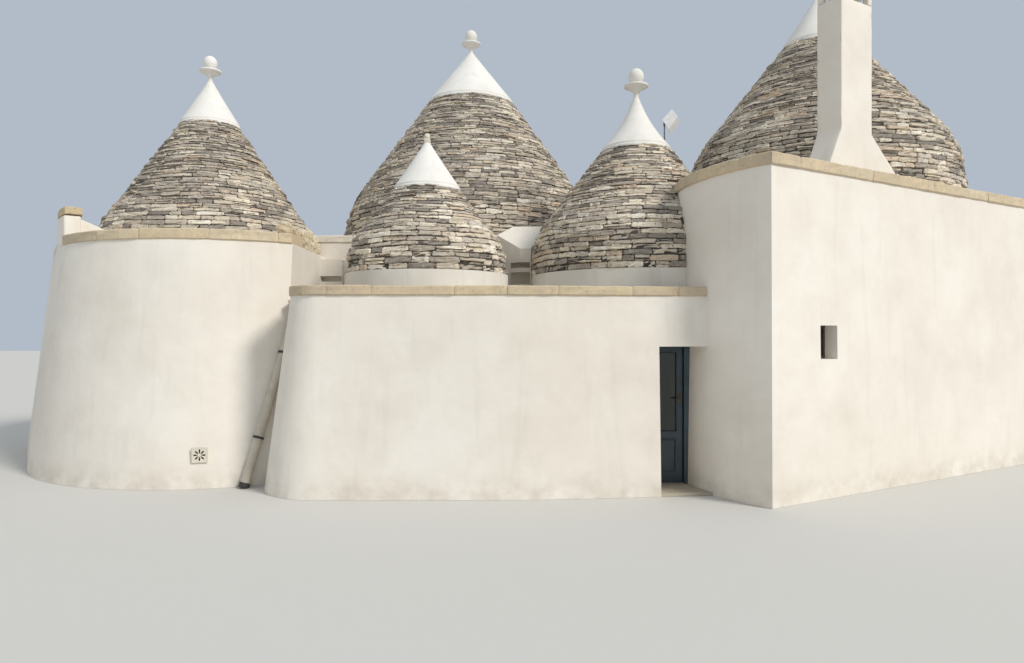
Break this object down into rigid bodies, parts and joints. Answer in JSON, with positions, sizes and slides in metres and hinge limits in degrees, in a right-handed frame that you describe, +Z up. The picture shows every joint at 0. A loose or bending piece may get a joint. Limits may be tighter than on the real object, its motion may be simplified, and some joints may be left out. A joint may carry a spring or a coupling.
{
  "type": "trullo house",
  "caption": "Low whitewashed house with rounded walls under six dry-stone cones, with plaster caps, a deep doorway, a chimney and a rain pipe.",
  "frame": {"origin": "middle of the plan's bounding box, on the ground under the walls", "axes": "+X to the right along the front with the door, +Y back into the house, +Z up"},
  "size_m": [18.0414, 9.721, 8.415],
  "materials": {
    "whitewash": "rough whitewashed plaster, softly mottled",
    "cap_plaster": "smooth white plaster, weathered at the foot",
    "deck_plaster": "trowelled lime plaster, dusty",
    "limestone": "rough tan limestone, weathered edges",
    "dry_stone": "dry-laid thin limestone courses, grey and cream",
    "floor_stone": "worn limestone slabs",
    "door_paint": "dark blue-green gloss paint, aged",
    "window_paint": "dark painted wood",
    "pane": "clear glass",
    "handle_metal": "dull brass",
    "pipe_paint": "cream-grey paint, dusty",
    "pipe_dark": "dark paint, dull",
    "vent_ceramic": "matt cream disc",
    "aerial_metal": "dull grey metal"
  },
  "bodies": {
    "house": {"west_nose_wall": "whitewash", "west_outer_wall": "whitewash", "west_party_wall": "whitewash", "west_roof_deck": "deck_plaster", "west_pier": "whitewash", "west_pier_cap": "limestone", "west_cornice": "limestone", "edge_stones": "limestone", "west_cone": "dry_stone", "east_front_wall": "whitewash", "east_outer_wall": "whitewash", "east_flank_wall": "whitewash", "east_window": "window_paint", "east_roof_deck": "deck_plaster", "east_cornice": "limestone", "east_cone": "dry_stone", "chimney": "whitewash", "chimney_cap": "whitewash", "rear_front_wall": "whitewash", "slanted_wall": "whitewash", "rear_outer_wall": "whitewash", "rear_roof_deck": "deck_plaster", "rear_coping": "limestone", "great_cone": "dry_stone", "back_cone": "dry_stone", "centre_left_wall": "whitewash", "centre_front_wall": "whitewash", "wall_over_door": "whitewash", "door_sill": "floor_stone", "centre_roof_deck": "deck_plaster", "centre_coping": "limestone", "cone_rings": "whitewash", "small_cone": "dry_stone", "door_cone": "dry_stone", "cone_caps": "cap_plaster", "cone_finials": "cap_plaster", "room_floors": "floor_stone", "door_frame": "door_paint", "frame_hinges": "handle_metal", "rain_hopper": "pipe_paint", "downpipe": "pipe_paint", "pipe_fittings": "pipe_dark", "rosette_vent": "vent_ceramic", "valley_blocks": "whitewash", "aerial": "aerial_metal"},
    "door": {"door_leaf": "door_paint", "door_glass": "pane", "door_handle": "handle_metal", "leaf_hinges": "handle_metal"}
  },
  "joints": [
    {"name": "door_hinge", "type": "hinge", "parent": "house", "child": "door", "pos_m": [1.243, -3.49, 0.9], "axis": [0, 0, 1], "range_deg": [0, 90]}
  ]
}
